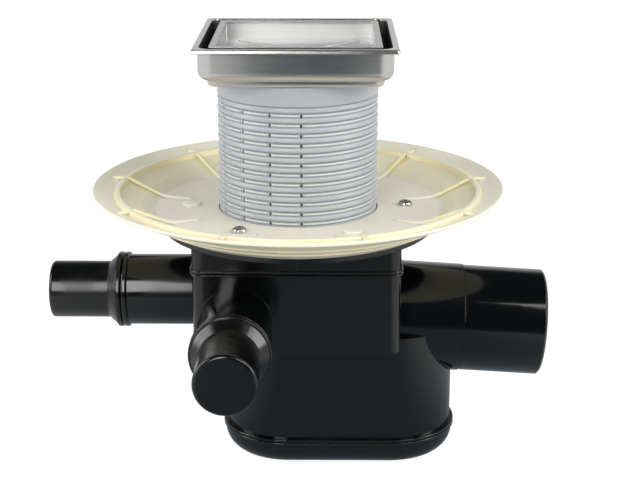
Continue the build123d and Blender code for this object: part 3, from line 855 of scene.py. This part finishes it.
bowed = pan_steel.node("VectorMath", {"operation": "ADD"}, {
    0: pan_steel.soft_edges(radius=0.0004), 1: bow
})
bowed = pan_steel.node("VectorMath", {"operation": "NORMALIZE"}, {0: bowed})
pan_steel.feed({
    "Base Color": pan_steel.tint(pan_marks, STEEL_DARK, STEEL_BRIGHT),
    "Roughness": 0.15 + pan_marks * 0.14,
    "Normal": pan_steel.bump(pan_waves, distance=0.0005, strength=0.2, normal=bowed),
})
# The pan's inside faces: near-black steel, painted shade in the channels.
pan_inside_shade = Finish(bpy.data.materials.new("pan_inside_shade"), {"Metallic": 1.0})
inside_shade_noise = pan_inside_shade.noise(scale=50, detail=4.0)
pan_inside_shade.feed({
    "Base Color": pan_inside_shade.tint(inside_shade_noise, INSIDE_SHADE_DARK, INSIDE_SHADE_PALE),
    "Roughness": 0.45 + inside_shade_noise * 0.2,
})


def square_row(half, corner, height, arc_steps=8, side_steps=4):
    """Corners of one level row round a square with rounded corners."""
    flat = half - corner
    row = []
    points = []
    for step in range(arc_steps + 1):
        angle = pi / 2 * step / arc_steps
        points.append((flat + cos(angle) * corner, flat + sin(angle) * corner))
    for step in range(1, side_steps):
        points.append((flat * (1 - 2 * step / side_steps), half))
    for quarter_turn in range(4):
        turn = radians(90 * quarter_turn)
        row += [
            (x * cos(turn) - y * sin(turn), x * sin(turn) + y * cos(turn), height)
            for x, y in points
        ]
    return row


pan_line = rounded([
    (PAN_HALF - SHEET, pan_high.z, MOUTH_ROUND), (FRAME_HALF, pan_high.z, LIP_ROUND),
    (FRAME_HALF + LIP_OUT, pan_high.z - LIP_DROP, LIP_END_ROUND),
    (FRAME_HALF + LIP_OUT - LIP_INSIDE, pan_high.z - LIP_DROP - LIP_EDGE),
    (FRAME_HALF - LIP_INSIDE, pan_high.z - SHEET, UNDER_LIP_ROUND),
    (PAN_HALF, pan_high.z - SHEET, NECK_ROUND),
    (PAN_HALF, LEDGE, PAN_ROUND), (LOWER_HALF, LEDGE, LEDGE_ROUND),
    (LOWER_HALF, pan_low.z, LOWER_ROUND), (SOCKET_HOLE, pan_low.z),
    (SOCKET_HOLE, pan_low.z + SHEET),
    (LOWER_HALF - SHEET, pan_low.z + SHEET, LOWER_ROUND - SHEET),
    (LOWER_HALF - SHEET, LEDGE + SHEET, LEDGE_INSIDE_ROUND),
    (PAN_HALF - SHEET, LEDGE + SHEET, PAN_ROUND - SHEET),
])
pan_corners = []
for half, height in pan_line:
    if half > PAN_HALF + LIP_EDGE:
        corner = FRAME_CORNER
    else:
        corner = PAN_CORNER - (PAN_HALF - half) * CORNER_TIGHTENS
    if half < LOWER_HALF - SHEET and height < LEDGE:
        beside_hole = (half - SOCKET_HOLE) / (LOWER_HALF - SHEET - SOCKET_HOLE)
        corner = max(corner, half - (half - corner) * beside_hole)
    pan_corners += square_row(half, corner, height)
pan_around = len(square_row(PAN_HALF, PAN_CORNER, 0))
pan_rows = len(pan_line)
pan_faces = [
    (i * pan_around + j, i * pan_around + (j + 1) % pan_around,
     (i + 1) % pan_rows * pan_around + (j + 1) % pan_around, (i + 1) % pan_rows * pan_around + j)
    for i in range(pan_rows) for j in range(pan_around)
]
hole_row = [half for half, height in pan_line].index(SOCKET_HOLE)
# Inside faces, from the socket hole on, take the painted shade.
pan_kinds = [
    int(i >= hole_row and pan_line[i][1] < pan_high.z - SHEET)
    for i in range(pan_rows) for j in range(pan_around)
]
pan = make_piece(
    "pressed_pan", pan_corners, pan_faces, [pan_steel, pan_inside_shade], "frame",
    smooth_under=50, face_finish=pan_kinds
)
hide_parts("top_frame")


# Tile tray
# Folded stainless sheet with a double-walled rim, brushed, and a floor pressed with ribs.
# It stands loose in the frame, and a floor tile is laid in it.
BRUSHED_DARK = (0.50, 0.50, 0.49, 1)
BRUSHED_BRIGHT = (0.80, 0.80, 0.79, 1)
tray_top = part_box("tile_tray")[1].z
tray_steel = Finish(bpy.data.materials.new("tray_steel"), {"Metallic": 1.0})
tray_marks = tray_steel.noise(scale=300, stretch=(0.05, 1, 1), detail=4.0)
tray_z = tray_steel.node("SeparateXYZ", sockets={0: tray_steel.place()}).beside(2)
below_rim = 1 - tray_z.ease(start=tray_top - 0.003, end=tray_top - 0.001)
tray_edges = tray_steel.soft_edges(radius=0.0004)
tray_steel.feed({
    "Base Color": tray_steel.tint(tray_marks * 0.5 + below_rim * 0.5, BRUSHED_DARK, BRUSHED_BRIGHT),
    "Roughness": 0.20 + tray_marks * 0.12 + below_rim * 0.14,
    "Normal": tray_steel.bump(tray_marks, distance=0.0001, strength=0.2, normal=tray_edges),
})
dress("tile_tray", tray_steel)
